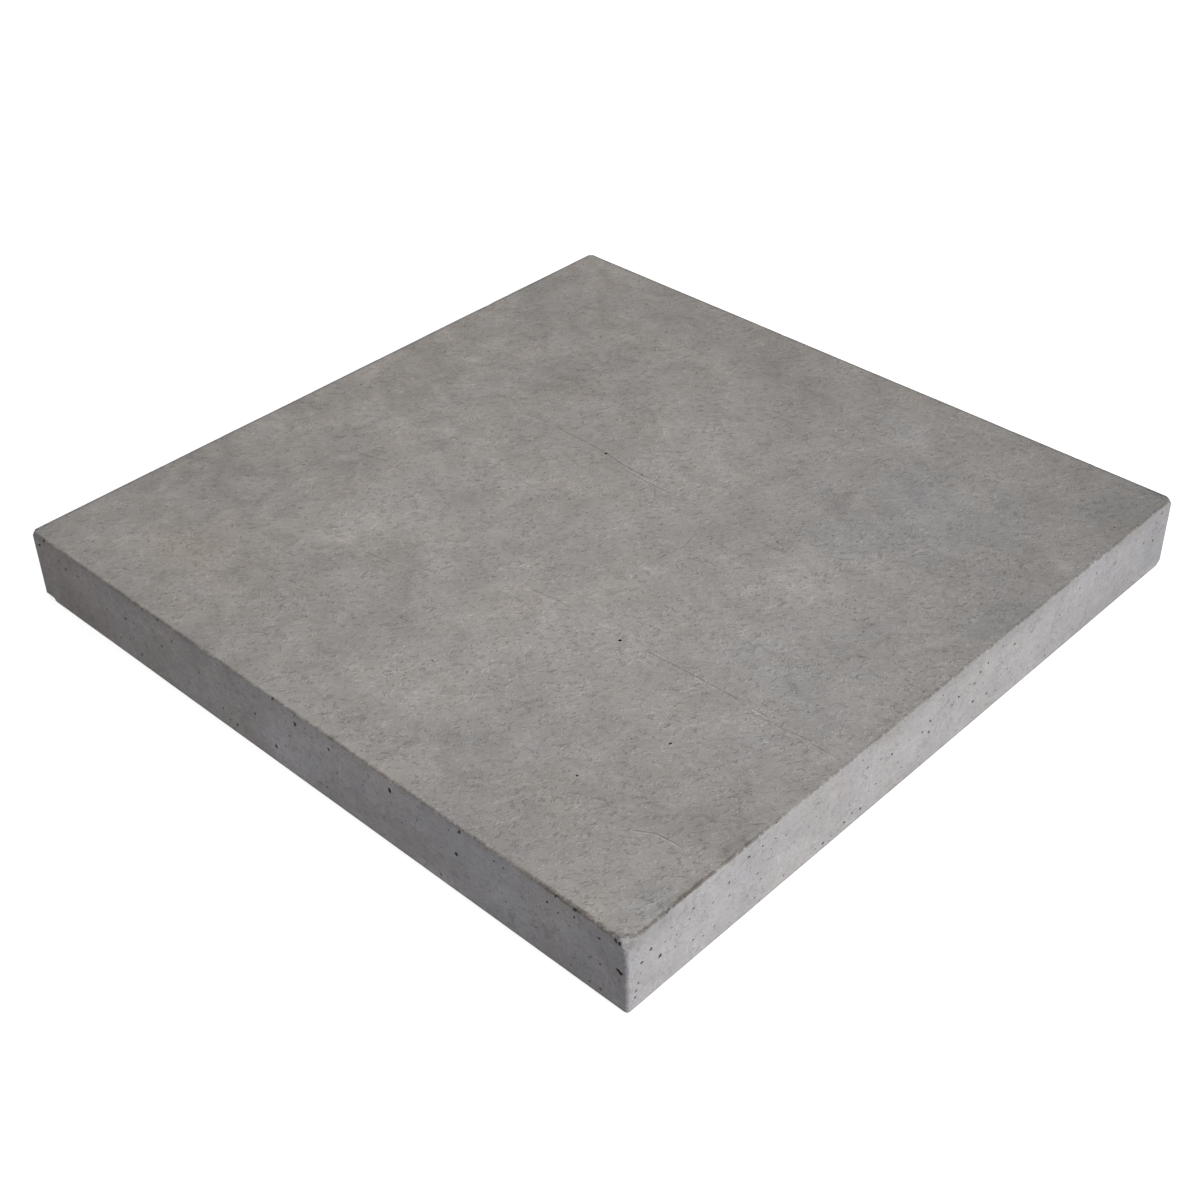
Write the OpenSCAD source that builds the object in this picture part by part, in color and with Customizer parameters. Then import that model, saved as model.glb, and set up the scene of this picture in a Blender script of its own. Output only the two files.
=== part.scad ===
// Square wet-cast concrete paving slab, cast as one piece.
// It lies on its bed face: the origin is the middle of that face and +Z points up to the walking face.

/* [Slab] */
// Length of each side of the square slab
side = 500; // [300:50:600]
// Thickness from the bed face to the walking face
thickness = 50; // [35:1:80]

/* [Edges] */
// Radius of the upright corners, seen from above
corner_radius = 4; // [4:1:20]
// Radius of the worn arris around the walking face
walking_arris_radius = 1.5; // [1:0.5:3]
// Radius of the arris around the bed face
bed_arris_radius = 1.5; // [1:0.5:3]

/* [Concrete] */
// Brightness of the grey concrete, where 0 is black and 1 is white
brightness = 0.57; // [0.3:0.01:0.9]

/* [Hidden] */
$fn = 64;
// A concrete grey that leans slightly to the warm side
concrete_colour = [brightness, 0.975 * brightness, 0.955 * brightness];
// Length of each straight side, between two rounded corners
straight = side - 2 * corner_radius;
// Height of the flat upright part of a side, between the two arrises
upright = thickness - bed_arris_radius - walking_arris_radius;

// A quarter of a disc, filling the corner between +X and +Y
module quarter_disc(radius) {
    intersection() {
        circle(r = radius);
        square(radius);
    }
}

// Upright section of the slab's rim, from the start of the corner rounding out to the side face
module rim_section() {
    square([corner_radius - bed_arris_radius, bed_arris_radius]);
    translate([corner_radius - bed_arris_radius, bed_arris_radius])
        mirror([0, 1]) quarter_disc(bed_arris_radius);
    translate([0, bed_arris_radius])
        square([corner_radius, upright]);
    translate([0, bed_arris_radius + upright])
        square([corner_radius - walking_arris_radius, walking_arris_radius]);
    translate([corner_radius - walking_arris_radius, thickness - walking_arris_radius])
        quarter_disc(walking_arris_radius);
}

// The rim along one straight side, which faces +X
module straight_rim() {
    translate([straight / 2, straight / 2, 0])
        rotate([90, 0, 0])
            linear_extrude(height = straight) rim_section();
}

// The rim round one corner, which stands between +X and +Y
module corner_rim() {
    translate([straight / 2, straight / 2, 0])
        rotate_extrude(angle = 90) rim_section();
}

// The whole slab: a square middle with a straight rim and a corner on each side in turn
module slab() {
    color(concrete_colour)
        union() {
            translate([-straight / 2, -straight / 2, 0])
                cube([straight, straight, thickness]);
            for (turn = [0 : 90 : 270])
                rotate([0, 0, turn]) {
                    straight_rim();
                    corner_rim();
                }
        }
}

slab();
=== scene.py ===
"""A square wet-cast concrete paving slab, lying on a pale studio floor."""
import math
import random
from collections import namedtuple

import bmesh
import bpy
from bpy.props import FloatProperty, FloatVectorProperty, IntProperty, PointerProperty
from mathutils import Matrix, Vector, noise
from mathutils.kdtree import KDTree


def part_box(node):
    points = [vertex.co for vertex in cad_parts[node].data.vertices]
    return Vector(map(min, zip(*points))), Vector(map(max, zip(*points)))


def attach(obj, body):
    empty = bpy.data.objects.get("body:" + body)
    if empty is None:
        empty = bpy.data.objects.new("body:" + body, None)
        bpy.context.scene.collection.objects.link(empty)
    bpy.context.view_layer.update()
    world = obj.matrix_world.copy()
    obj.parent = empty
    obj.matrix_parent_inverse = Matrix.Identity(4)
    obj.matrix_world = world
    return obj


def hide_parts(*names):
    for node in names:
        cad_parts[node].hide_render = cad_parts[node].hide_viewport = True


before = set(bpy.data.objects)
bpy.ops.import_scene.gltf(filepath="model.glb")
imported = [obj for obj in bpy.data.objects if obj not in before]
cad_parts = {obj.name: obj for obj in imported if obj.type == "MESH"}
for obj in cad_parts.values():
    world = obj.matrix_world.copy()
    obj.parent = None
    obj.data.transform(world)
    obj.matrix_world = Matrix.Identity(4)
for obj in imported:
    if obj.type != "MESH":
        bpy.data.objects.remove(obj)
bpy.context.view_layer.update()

bl_info = {
    "name": "Concrete Paving Slab",
    "version": (1, 0, 0),
    "blender": (4, 5, 0),
    "location": "View3D > Sidebar > Paving",
    "description": "Casts a worn concrete paving slab and sets a pale studio round it",
    "category": "Object",
}

MM = 0.001
SLAB_NODE = "slab"
SLAB_BODY = "root"
SLAB_LOW, SLAB_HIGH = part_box(SLAB_NODE)
SLAB_SIZE = SLAB_HIGH - SLAB_LOW
SLAB_MIDDLE = (SLAB_LOW + SLAB_HIGH) / 2
HALF_SIDE = SLAB_SIZE.x / 2
HALF_MM = HALF_SIDE / MM
SAME_PLACE = 1e-6


# ---- Settings that a user would change ----

class SlabShape(bpy.types.PropertyGroup):
    """Sizes of the slab's edges, relief and pores."""

    corner_radius: FloatProperty(
        name="Corner radius", description="Radius of the upright corners in plan",
        default=2.2 * MM, min=2 * MM, max=20 * MM, unit="LENGTH")
    walking_arris: FloatProperty(
        name="Walking arris", description="Radius of the arris around the walking face",
        default=1.2 * MM, min=1 * MM, max=3 * MM, unit="LENGTH")
    bed_arris: FloatProperty(
        name="Bed arris", description="Radius of the arris around the bed face",
        default=1.5 * MM, min=1 * MM, max=3 * MM, unit="LENGTH")
    cell: FloatProperty(
        name="Cell", description="Mesh spacing on the walking face; the sides have half of it",
        default=5 * MM, min=3 * MM, max=10 * MM, unit="LENGTH")
    side_row: FloatProperty(
        name="Side row", description="Height of one mesh row on the sides",
        default=2 * MM, min=1.5 * MM, max=5 * MM, unit="LENGTH")
    waviness: FloatProperty(
        name="Waviness", description="Depth of the gentle hollows in the cast faces",
        default=0.10 * MM, min=0, max=1 * MM, unit="LENGTH")
    nick_depth: FloatProperty(
        name="Nick depth", description="Depth of the nicks along the walking arris",
        default=0.4 * MM, min=0, max=2 * MM, unit="LENGTH")
    pores_on_side: IntProperty(
        name="Pores on a side", description="Random round air pores in each side",
        default=30, min=0, max=60)
    pinholes_on_side: IntProperty(
        name="Pinholes on a side", description="Random pinholes in each side",
        default=110, min=0, max=200)
    pinholes_on_top: IntProperty(
        name="Pinholes on top", description="Random pinholes in the walking face",
        default=60, min=0, max=200)
    seed: IntProperty(
        name="Seed", description="Picks another casting of the same slab", default=7, min=0)


class SlabColours(bpy.types.PropertyGroup):
    """Colours of the concrete, as linear values."""

    walking: FloatVectorProperty(
        name="Walking face", description="Warm grey of the walking face",
        default=(0.285, 0.268, 0.255), min=0, max=1, subtype="COLOR")
    sides: FloatVectorProperty(
        name="Sides", description="Neutral grey of the mould-cast sides",
        default=(0.273, 0.262, 0.265), min=0, max=1, subtype="COLOR")
    bed: FloatVectorProperty(
        name="Bed face", description="Paler grey of the floated underside",
        default=(0.32, 0.31, 0.297), min=0, max=1, subtype="COLOR")
    # deep in a pore the colour is painted shade
    pore: FloatVectorProperty(
        name="Pores", description="Shade deep in a pore",
        default=(0.014, 0.013, 0.014), min=0, max=1, subtype="COLOR")


class StudioSettings(bpy.types.PropertyGroup):
    """Camera, lamps and floor."""

    azimuth: FloatProperty(
        name="Azimuth", description="Direction of the camera round the slab",
        default=math.radians(44.06), subtype="ANGLE")
    elevation: FloatProperty(
        name="Elevation", description="Height of the camera above the horizon",
        default=math.radians(37.26), subtype="ANGLE")
    roll: FloatProperty(
        name="Roll", description="Small tilt of the camera about its own view",
        default=math.radians(-1.09), subtype="ANGLE")
    distance: FloatProperty(
        name="Distance", description="Camera distance over the slab's side length",
        default=2.293, min=1)
    lens: FloatProperty(
        name="Lens", description="Focal length for a 36 mm sensor", default=55.66, min=20)
    sky: FloatProperty(
        name="Sky", description="Strength of the even white light", default=0.60, min=0)
    key_power: FloatProperty(
        name="Key lamp", description="Power of the large soft lamp", default=60, min=0, unit="POWER")
    key_elevation: FloatProperty(
        name="Key elevation", description="Height of the key lamp above the horizon",
        default=math.radians(23), subtype="ANGLE")
    floor_colour: FloatVectorProperty(
        name="Floor", description="Colour of the studio floor",
        default=(0.62, 0.62, 0.62), min=0, max=1, subtype="COLOR")


# ---- What the slab carries: pores, cracks, stains and worn places, in millimetres ----

# A face is named by the way it looks out. Along and up are its own two directions.
Face = namedtuple("Face", "outward along up")
FRONT = Face(Vector((0, -1, 0)), Vector((1, 0, 0)), Vector((0, 0, 1)))
RIGHT = Face(Vector((1, 0, 0)), Vector((0, 1, 0)), Vector((0, 0, 1)))
BACK = Face(Vector((0, 1, 0)), Vector((-1, 0, 0)), Vector((0, 0, 1)))
LEFT = Face(Vector((-1, 0, 0)), Vector((0, -1, 0)), Vector((0, 0, 1)))
WALKING = Face(Vector((0, 0, 1)), Vector((1, 0, 0)), Vector((0, 1, 0)))
SIDES = (FRONT, RIGHT, BACK, LEFT)


def on_face(kind, face, *rows):
    """A record of one kind for each row of its values, all on one face."""
    return [kind(face, *row) for row in rows]


# Places on a side are measured along from its middle and up from the bed. Places on the
# walking face are measured from its middle. A turn is in degrees from the along direction.
Pore = namedtuple("Pore", "face along up length width turn", defaults=(0,))
MAIN_PORES = [
    *on_face(Pore, FRONT,
        (82, 42, 4.6, 2.5, 95), (245, 27, 5.4, 2.9, -18), (4.5, 42, 3.2, 2.7, 90),
        (-16.5, 13, 3.1, 2.6, 50), (131.5, 29, 2.8, 2.5, 40), (33.5, 40, 2.6, 2, 120),
        (31.5, 43, 2, 1.6, 120), (135.3, 44, 3.6, 1.7, 80), (-53, 8.3, 2.6, 1.8, 48),
        (-58, 8, 2.2, 1.3, 20), (-57, 13.5, 1.7, 1.2, 50), (-63.5, 14, 1.9, 1.3, 40),
        (-242.5, 42.5, 3.2, 2, 20), (-216, 37.3, 2.6, 2.1, 35), (-202.5, 38.3, 2.4, 1.4, 30),
        (-234.5, 31.5, 1.8, 1, 30), (-231, 31, 1.6, 1.2), (-176, 27, 1.5, 1.1, 50),
        (-156, 30.5, 2.5, 2, 37), (-147, 31.7, 2.2, 1.3, 25), (-131.5, 27, 1.5, 1.1, 30),
        (-119.5, 29, 2.5, 1.6, 36), (-123.5, 45, 1.6, 1, 60), (-108.5, 38, 2.5, 1.6, 70),
        (-137, 19, 1.5, 1.1, 40), (-155, 15.5, 1.9, 1.1, 40), (-165.5, 11, 2.2, 1.2, 30),
        (-145, 9, 2.3, 1.7, 50), (-83.5, 29.5, 1.9, 1.4, 60), (-65, 31.5, 1.5, 1.1, 40),
        (-97, 14, 1.4, 1, 40), (-33, 28, 2.2, 1.5, 40), (-1.5, 30, 2.1, 1.3, 36),
        (59, 31.5, 1.5, 1.1, 45), (63.5, 29, 1.4, 1, 60), (102, 34, 2, 1.3, 60), (89, 24, 1.9, 1, 70),
        (127, 43, 1.6, 1.1, 60), (21, 8.5, 1.9, 1.4, 50), (25, 8.5, 1.9, 1.3, 40),
        (118, 5, 2.6, 1.6, 80), (37.5, 26.5, 1.7, 1, 70), (160, 46, 2, 1.3, 45),
        (165, 44, 1.9, 1.3, 45), (167, 19.5, 1.9, 1.3, 40), (188.7, 16.5, 1.6, 1.1, 50),
        (197, 41, 2.1, 1.7, 60), (203, 38, 1.9, 1.2, 40), (208, 41, 2.2, 1.5, 50), (212, 35, 1.3, 1),
        (232, 41, 2.1, 1.6, 63), (226.3, 24, 1.7, 1.2, 45), (232, 23, 1.8, 1.5, 45),
        (225, 5.3, 2, 1.4, 45), (230, 4.6, 2, 1.6, 20), (235, 3.8, 2, 1.7), (212, 7, 1.4, 1.1, 40),
        (216.5, 46, 2, 1.6, 70), (155.5, 19, 1.3, 1)),
    *on_face(Pore, RIGHT,
        (-226.5, 23, 2.7, 2.4, 50), (-234, 34, 2.5, 2.1, 50), (-238, 29.5, 2.1, 1.9, 45),
        (-242, 17, 1.9, 1.3, 40), (-243.7, 12.6, 1.9, 1.6, 40), (-244.6, 8.6, 1.9, 1.6, 40),
        (-241, 20, 1.4, 1.1, 40), (-202, 37, 2, 1.5, 70), (-204.5, 34, 1.8, 1.3, 60),
        (-175.5, 34.5, 2.1, 1.7, 50), (-179, 33, 1.7, 1.2, 30), (-187.5, 30, 1.9, 1.2, 80),
        (-175, 25, 2.1, 1.2, 135), (-215.5, 20.7, 1.8, 1.3), (-214.5, 28.5, 1.6, 1.2),
        (-223, 28.5, 1.5, 1.2), (-202, 14.5, 1.7, 1.2), (-194, 11, 1.5, 1.2), (-186, 11.5, 1.7, 1.2),
        (-161, 41.5, 2.6, 1.7, 10), (-149.5, 41, 2.2, 1.5), (-139.5, 39, 1.6, 1.1),
        (-143.5, 36, 1.7, 1), (-153, 24, 2, 1.3), (-150, 20, 1.9, 1), (-161, 14, 1.8, 1.2),
        (-154, 7.8, 1.6, 1.3), (-104, 38, 2.2, 1.5), (-131, 34.7, 1.9, 1.2), (-105.5, 30, 1.6, 1.1),
        (-110, 27, 1.6, 1.1), (-123.5, 24.5, 1.6, 1.1), (-62, 34.5, 2.5, 1.5, 20),
        (-63, 28, 1.7, 1.2), (-50.5, 33, 2.2, 1.2), (-40, 29.5, 2.5, 1.7, 130), (-24, 29.5, 1.8, 1.1),
        (-11.5, 27, 2.2, 1.6), (-5, 30.5, 2.5, 1.8, 130), (-5.7, 22.4, 2.6, 1.8, 130),
        (-79.3, 7, 2.2, 1.8, 130), (-73.5, 9.5, 2, 1.4, 130), (-67, 7, 2.5, 1.8, 130),
        (-98.5, 4, 2.4, 2.1, 20), (-131, 6, 1.8, 1.5), (-93, 5, 1.6, 1.2), (-59, 16, 1.4, 1.1),
        (-55, 16.5, 1.8, 1.4), (-51, 16.2, 1.6, 1.4), (-33.5, 19, 1.8, 1.4), (-29, 12.5, 1.7, 1.2),
        (-67, 44.5, 2, 1.1, 140), (5, 43, 1.6, 1.2), (16, 29, 2.1, 1.4), (21.5, 31, 2.5, 1.7, 130),
        (37.5, 31.2, 2.6, 1.6), (38, 17.7, 2.8, 1.9, 160), (42, 35, 2.3, 1.7, 130),
        (47, 38.5, 2.2, 1.5, 130), (47.5, 42, 1.6, 1.2), (51.5, 14.7, 2.2, 1.7), (62, 11, 1.9, 1.5),
        (65.5, 30, 1.7, 1.3, 90), (76.5, 36.5, 2.7, 1.7), (72.5, 20.5, 1.9, 1.3),
        (94.5, 35, 2, 1.4, 130), (98.5, 17.3, 1.9, 1.2), (106, 17, 1.9, 1.3), (125, 30, 2, 1.1, 130),
        (145, 38.5, 2.1, 1.4), (163, 39.5, 2.2, 1.5, 130), (184, 35, 2.2, 1.3),
        (219.5, 32, 2.3, 1.6, 130), (232, 26.7, 2.4, 1.7, 130), (236.5, 27, 1.5, 1.1),
        (232, 40, 2, 1.4), (229.5, 37, 1.5, 1.1), (238, 45, 2, 1.4), (115, 5, 2.3, 1.5, 90),
        (39, 5, 1.6, 1.2)),
    *on_face(Pore, WALKING,
        (92, -85, 2.7, 2.2, 20), (171, -131, 2.8, 1.7, 60), (152, -182, 2.2, 1.6, 30),
        (-47, 51.3, 2.8, 2.1), (239, 198, 2.2, 1.2, 30), (-13, 48.5, 2.2, 1.4), (-22, 49.2, 1.5, 1)),
]

# A round notch in the walking arris: how far along its side, how far down, and its radius
Notch = namedtuple("Notch", "face along down radius")
NOTCHES = [
    *on_face(Notch, FRONT,
        (242.2, 3.2, 1.4), (245, 3.4, 1.2), (215.8, 1.8, 1.4), (203, 0.5, 1.1), (135.3, 2.6, 1.3),
        (5, 1.9, 1.2), (-14, 0.6, 1.2), (-119.5, 1.7, 1.2), (-236.3, 2, 1.5)),
    *on_face(Notch, RIGHT,
        (-220.5, 1.6, 1.5), (-208, 0.5, 0.9), (-168, 0.2, 0.8), (-139, 0.2, 0.8), (-93, -0.1, 0.9)),
]

# A fine crack in the walking face, through its points. Its lip is the line beside it that
# is painted brighter as a painted highlight, above zero on the left of the way the points run.
# The crack itself is painted with shade; one of the full-shade depth or more is drawn at its darkest.
Crack = namedtuple("Crack", "depth lip points")
CRACKS = [Crack(depth, lip, points) for depth, lip, *points in (
    (0.17, -0.5, (-102, 53), (-75, 52.6), (-47, 51.5), (-30, 49), (-12, 48.2), (1, 49)),
    (0.16, 0.9, (-32, 46.3), (-18, 45), (4, 44.6), (26, 45.3)),
    (0.12, 1, (2, 44), (9, 36.5), (16, 25)), (0.14, -0.5, (18, -85), (34, -83), (53, -82)),
    (0.06, -0.3, (62, -84), (84, -82.5), (108, -82.2)),
    (0.13, 1, (108, -82), (124, -81.3), (140, -80.5), (153, -79.7)),
    (0.15, -1, (140, -80.6), (153, -79.9), (168, -79.6), (179, -79)),
    (0.14, -0.7, (184, -79.6), (192, -80), (200, -80.3)),
    (0.16, 0.6, (199, -81.7), (206, -82), (213, -82)),
    (0.16, -1, (212, -82), (216, -80.5), (222, -80)),
    (0.16, 0.8, (224, -81), (233, -81), (241, -80.5)),
    (0.22, 0.6, (-82, -126), (-70, -123.8), (-57, -121.8)),
    (0.03, 1, (-58, -121.8), (-47, -118.5), (-34, -114.7)),
    (0.03, 1, (-105, -129.5), (-93, -127.5), (-81, -125.8)),
    (0.18, 0.3, (-70, -131), (-67, -126.5), (-61, -122.5)),
    (0.18, 0.6, (-166, -55.5), (-154, -52.5), (-142, -48.5)),
    (0.16, 0.4, (56, 20), (59, 7), (55, -14)), (0.12, 0.2, (74, 6), (96, 5)),
    (0.24, -0.9, (199, -193), (210, -186), (227, -184)), (0.2, 0.3, (240, -150), (247, -143)),
)]
CRACK_HALF_WIDTH = 0.6
# from this crack depth on, a crack's painted shade is at its darkest
FULL_SHADE_DEPTH = 0.18
LIP_OFFSET = 1.15
LIP_END = 1.85

# A corner worn off to a ball: its signs, the ball's radius, and how far under the sharp
# corner the ball's skin lies
WornCorner = namedtuple("WornCorner", "signs radius cut")
WORN_CORNERS = [WornCorner(*row) for row in (
    ((1, -1, 1), 21, 4.6), ((-1, -1, 1), 14, 2.4), ((1, 1, 1), 15, 2.6), ((-1, 1, 1), 13, 2.2),
    ((1, 1, -1), 14, 3), ((1, -1, -1), 10, 1.2), ((-1, 1, -1), 13, 2.6), ((-1, -1, -1), 10, 1.8),
)]

# A flake knocked off the walking arris
Flake = namedtuple("Flake", "face along length depth")
FLAKES = [
    *on_face(Flake, FRONT, (87, 9, 0.5), (205, 6, 0.5), (228, 8, 0.6)),
    *on_face(Flake, RIGHT, (-232, 34, 0.9), (-216, 12, 0.7), (-205, 10, 0.5)),
    *on_face(Flake, BACK, (60, 6, 0.4)),
    *on_face(Flake, LEFT, (-140, 7, 0.4)),
]

# A soft-edged stain on the walking face: its middle, half length, half width, how much it
# brightens the concrete, how much bluer it turns it, and its turn
Stain = namedtuple("Stain", "x y length width tone cool turn", defaults=(0, 0))
STAINS = [Stain(*row) for row in (
    (-42, -84, 430, 400, 0.19), (-250, 60, 430, 460, 0, -0.9), (260, 40, 260, 300, 0, 0.5),
    (-240, 240, 130, 90, 0.15), (240, 262, 200, 130, -0.2), (265, 130, 75, 250, -0.13),
    (235, -235, 90, 80, 0.06), (90, -105, 75, 55, 0.055), (-100, -75, 45, 26, 0.035, 0.3),
    (25, -118, 36, 17, 0.035, 0.2, 5), (165, -50, 70, 38, 0.02, 1), (88, 196, 52, 20, 0.025, 1, -12),
    (150, 140, 90, 60, -0.02, 1.2, -10), (235, 215, 38, 45, -0.06, 0.6),
    (240, 80, 22, 45, -0.06, 0.7), (195, 195, 14, 10, -0.05), (150, 70, 34, 22, 0.02, -0.3, 20),
    (205, 20, 30, 24, -0.035), (-40, 200, 42, 30, -0.045), (-150, 215, 45, 22, -0.02, -0.3),
    (-225, 160, 22, 24, -0.035, 0.2), (-218, -105, 36, 48, -0.06, 0.2, 20), (-188, 10, 26, 24, -0.04),
    (-115, 100, 34, 24, -0.03, -0.5, 30), (-160, -190, 62, 40, -0.03, -1.3),
    (-205, 225, 28, 14, 0, -1), (-12, -165, 28, 28, -0.025), (218, -140, 28, 36, -0.035),
    (230, -178, 20, 16, -0.04), (238, -222, 22, 26, 0.02, 1.2), (115, -62, 24, 28, -0.025, -0.7),
    (-15, 62, 24, 14, -0.03), (-45, 50, 16, 5, -0.04), (60, 112, 44, 22, -0.03, 0.6, 25),
    (125, 100, 46, 15, -0.03, 0.8, -15), (125, 74, 66, 34, 0, 0.9), (-75, 0, 95, 60, 0.06),
    (-20, -125, 70, 36, 0.055), (-125, -75, 34, 26, 0.085), (175, -72, 28, 22, 0.05),
    (228, 50, 42, 70, -0.07), (234, -165, 28, 40, -0.05), (180, 232, 30, 26, -0.06),
    (-30, 175, 26, 24, -0.045), (26, 172, 24, 24, 0.05), (-22, -32, 52, 38, 0.065),
    (-25, 126, 36, 28, -0.075), (78, -22, 36, 28, 0.05), (25, -226, 36, 28, -0.085),
    (78, 225, 34, 28, -0.045), (125, 122, 32, 24, -0.045), (170, 40, 46, 30, -0.045),
    (-110, 26, 84, 28, 0.06), (-180, -112, 36, 32, 0.04), (30, -125, 150, 26, 0.04),
    (130, -172, 42, 26, 0.045), (-150, -195, 150, 60, 0, -0.6),
)]

# Streaks of cement paste and shallow creases on the walking face, in the same measures
STREAKS = [Stain(*row) for row in (
    (12, 114, 34, 6, 0.05, 0.3, 35), (-8, 103, 12, 8, 0.05, 0.3, -35),
    (-12, 118, 12, 4, -0.07, 0, -50), (-125, 8, 22, 4, 0.045, 0, -35), (-95, 8, 18, 4, 0.045, 0, 45),
    (-40, 8, 50, 7, 0.03, 0, 3), (-38, -100, 36, 5, -0.04, 0, 50), (-8, -72, 16, 5, 0.05, 0.3, 50),
    (-150, 128, 38, 5, 0.03, 0, 30), (152, 64, 24, 5, 0.045, 0.2, 30),
    (140, 34, 20, 6, 0.045, -0.2, 38), (-178, -14, 22, 4, -0.04), (-152, -52, 24, 3, -0.05, 0, 17),
    (-120, -29, 12, 2, 0.07, 0, 52), (-120, -29, 13, 3, 0.05, 0, 55), (-179, 3, 3, 11, -0.07, 0, 5),
    (-173, 2, 3, 12, 0.04, 0, 5), (-186, 2, 3, 12, 0.035, 0, 10), (-203, 19, 8, 6, -0.07),
    (-34, -40, 8, 3, -0.06, 0, -20), (247, -212, 5, 30, -0.24, -0.8), (245, -170, 5, 22, -0.16, -0.5),
    (246, -100, 4, 30, -0.12, -0.3), (236, -238, 14, 5, -0.12, -0.8, 40),
    (-182, 125, 12, 22, -0.05, 0, 30), (180, 105, 30, 4, -0.06, 0.4, -12),
    (75, 160, 4, 24, -0.04, 0.3, -25), (57, 25, 2.5, 46, -0.03), (-112, 40, 4, 34, -0.05),
    (2, 70, 3, 22, -0.03), (-50, 215, 26, 5, 0.04, 0, 30), (199, -72, 7, 3, -0.13),
    (205, -76.5, 4, 3, -0.16), (220, -80, 4, 2.5, -0.14, -0.5, 20), (-47, 51, 8, 5, -0.1, -0.5),
    (-54, 58, 3, 3, -0.1, -1.2), (-6, 50, 7, 3, -0.08, -0.5, 20), (165, 182, 6, 12, 0.04, 0.2, 35),
    (-7, 140, 15, 2.5, -0.08, 0, 28), (54, 127, 27, 2.5, -0.08, 0, 30), (59, 76, 2.2, 25, -0.07),
    (105, 70, 13, 2.5, -0.1, 0, 15), (123, 70, 11, 2.5, -0.08, 0, -20),
    (135, 57, 30, 2.5, 0.08, 0.2, 27), (-14, -2, 4, 8, -0.08), (-89, 5, 17, 2.5, 0.06, 0, 13),
    (-229, -43, 9, 5, -0.07), (-192, -19, 13, 2.5, -0.07, 0, 23), (235, 237, 3.4, 2.8, 0.14),
    (231, 233, 3, 2, -0.1),
)]

# Stains on the two sides: along from the middle, up from the bed, and the same again. The long
# pale bands low along the middle of the front side are painted bounce light from the floor.
FRONT_STAINS_AND_PAINTED_LIGHT = [Stain(*row) for row in (
    (-235, 25, 85, 60, -0.17, -2.4), (-150, 50, 90, 17, -0.12), (-12, 14, 34, 30, 0.16, 0.9),
    (40, 25, 170, 60, 0.05, -0.2), (-120, 20, 110, 60, 0, -0.9), (-20, 11, 190, 13, 0.07),
    (160, 30, 80, 40, 0.06, 1.5), (-12, 50, 40, 12, -0.06), (110, 2, 90, 16, 0.17),
    (255, 25, 70, 60, -0.24, 1.2), (-210, 10, 26, 8, -0.05, -0.5), (-188, 25, 36, 50, -0.07),
    (90, 12, 50, 8, 0.03, 0, 10), (-120, 40, 40, 8, 0.03, 0, -4), (-140, 50, 34, 6, -0.08),
)]
RIGHT_STAINS = [Stain(*row) for row in (
    (-60, 25, 220, 70, 0.06, -0.25), (0, 21, 190, 18, 0.035), (-72, 11, 36, 13, 0.08),
    (150, 36, 70, 32, 0, 0.4), (240, 25, 80, 60, -0.13, 0.6), (70, 50, 230, 15, -0.14),
    (188, 50, 34, 10, -0.1), (-234, 47, 46, 12, -0.19, -0.6), (225, 50, 50, 14, -0.08),
    (-200, 20, 130, 60, 0.09, 0.3), (-150, 14, 80, 22, 0.07), (-20, 0, 44, 14, -0.14),
    (165, 2, 60, 16, -0.14), (60, 35, 40, 10, 0.03, 0, 8),
)]

# Small marks that keep their exact place on the two sides, in the same measures. The small
# pale spots beside pores and notches are painted highlights on their lips; the others are stains.
FRONT_SPOTS = [Stain(*row) for row in (
    (-18, 25, 4, 11, 0.11, 0.5, -12), (-13.6, 14.6, 1.4, 1.8, 0.4, 0, 40),
    (102.5, 30, 1.6, 1.2, 0.34, 0.8, 30), (34.4, 42.2, 1.4, 1.4, 0.35), (30.6, 39.4, 1.6, 1.2, 0.3),
    (41, 26, 5, 4, 0.09, 0.8, -40), (-11, 50, 3, 1.6, 0.3), (-93, 49.5, 12, 5, -0.16, -0.6),
    (-210, 46, 5, 6, -0.1, -1), (-232, 17, 2.5, 4, -0.08, -0.8, -30), (130, 50, 10, 3, -0.12, -0.6),
    (230, 5, 9, 3, -0.12, -1, -25),
)]
RIGHT_SPOTS = [Stain(*row) for row in (
    (-58.3, 26.8, 2, 1.6, 0.2), (-65.5, 29.5, 2.6, 1.8, 0.1), (-234, 42, 3.4, 2.6, 0.12, 0, -30),
    (-242, 40.5, 1.6, 3.2, -0.24, -1, 15), (-105, 29.5, 2, 2, 0.11),
    (12, 34.5, 16, 2.6, -0.07, -0.4, 4), (6, 28, 7, 2, -0.08, -0.3),
    (18, 18, 3, 2.4, -0.09, -0.8, 20), (184, 34, 5, 3, -0.1, -0.6), (-216, 38, 9, 4, -0.06, -0.8),
    (-246, 46, 6, 4, -0.12, -0.6), (-48, 46, 22, 5, -0.05, -0.6, -6),
)]


# ---- Measures on the slab's skin ----

def smooth_ramp(low, high, value):
    """0 up to low, 1 from high on, and a smooth rise between them."""
    share = min(max((value - low) / (high - low), 0), 1)
    return share * share * (3 - 2 * share)


def place_on(face, along, up):
    """The point of a face at a place given in metres."""
    if face is WALKING:
        return Vector((SLAB_MIDDLE.x + along, SLAB_MIDDLE.y + up, SLAB_HIGH.z))
    foot = Vector((SLAB_MIDDLE.x, SLAB_MIDDLE.y, SLAB_LOW.z)) + face.outward * HALF_SIDE
    return foot + face.along * along + face.up * up


def corner_point(signs):
    """The sharp corner of the slab's box on the given sides."""
    return SLAB_MIDDLE + Vector([sign * size / 2 for sign, size in zip(signs, SLAB_SIZE)])


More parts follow.
